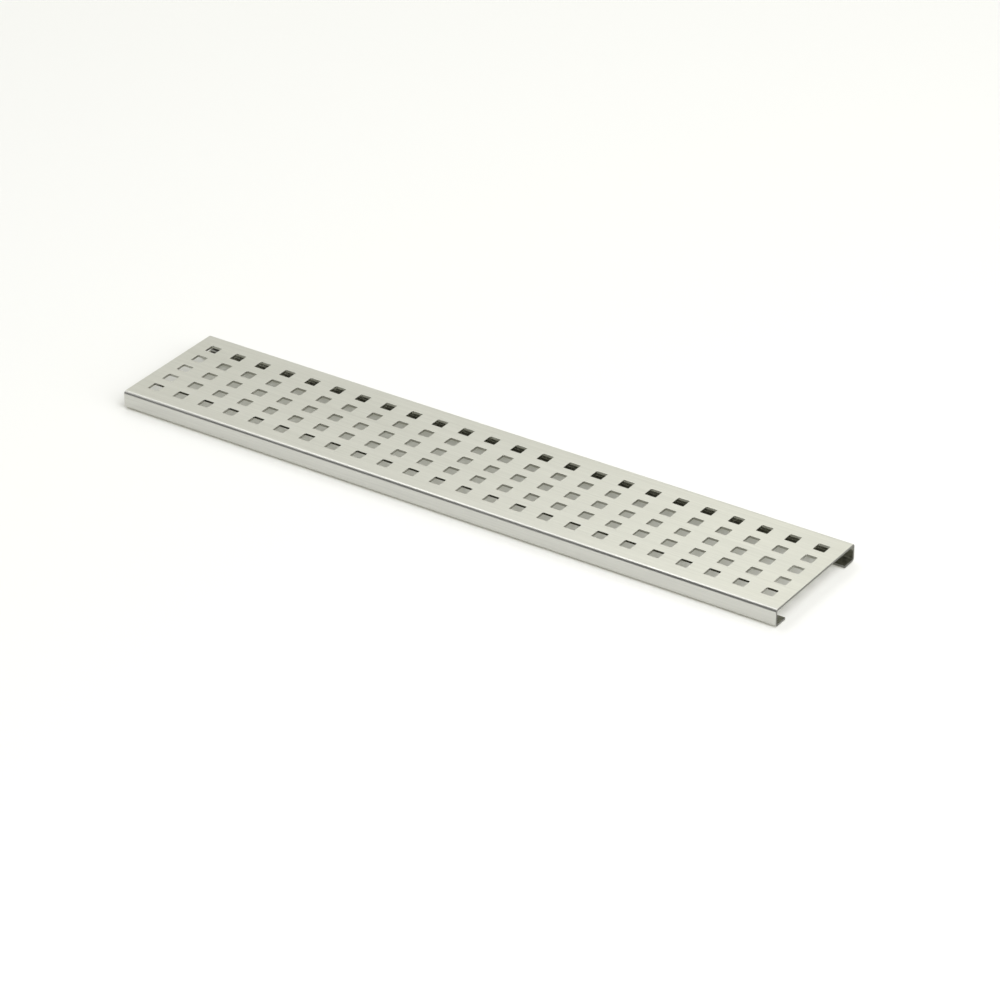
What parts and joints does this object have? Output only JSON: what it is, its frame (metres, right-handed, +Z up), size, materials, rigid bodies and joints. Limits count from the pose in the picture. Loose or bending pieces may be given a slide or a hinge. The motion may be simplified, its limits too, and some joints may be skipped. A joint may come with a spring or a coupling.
{
  "type": "floor drain grate",
  "caption": "Flat drop-in channel grate: a steel sheet folded to a shallow C with a grid of square holes, on small rubber buffers.",
  "frame": {"origin": "under the middle of the grate, on the plane that the buffers' feet stand on", "axes": "+X along the grate towards its right end, +Y across it towards the rear wall, +Z up out of the deck"},
  "size_m": [0.5, 0.096, 0.0133],
  "materials": {
    "stainless_steel": "fine brushed along the length, satin",
    "buffer_rubber": "matt black moulded rubber"
  },
  "bodies": {
    "root": {"perforated_cover": "stainless_steel", "buffer_front_left_end": "buffer_rubber", "buffer_front_left_middle": "buffer_rubber", "buffer_front_right_middle": "buffer_rubber", "buffer_front_right_end": "buffer_rubber", "buffer_rear_left_end": "buffer_rubber", "buffer_rear_left_middle": "buffer_rubber", "buffer_rear_right_middle": "buffer_rubber", "buffer_rear_right_end": "buffer_rubber"}
  },
  "joints": []
}
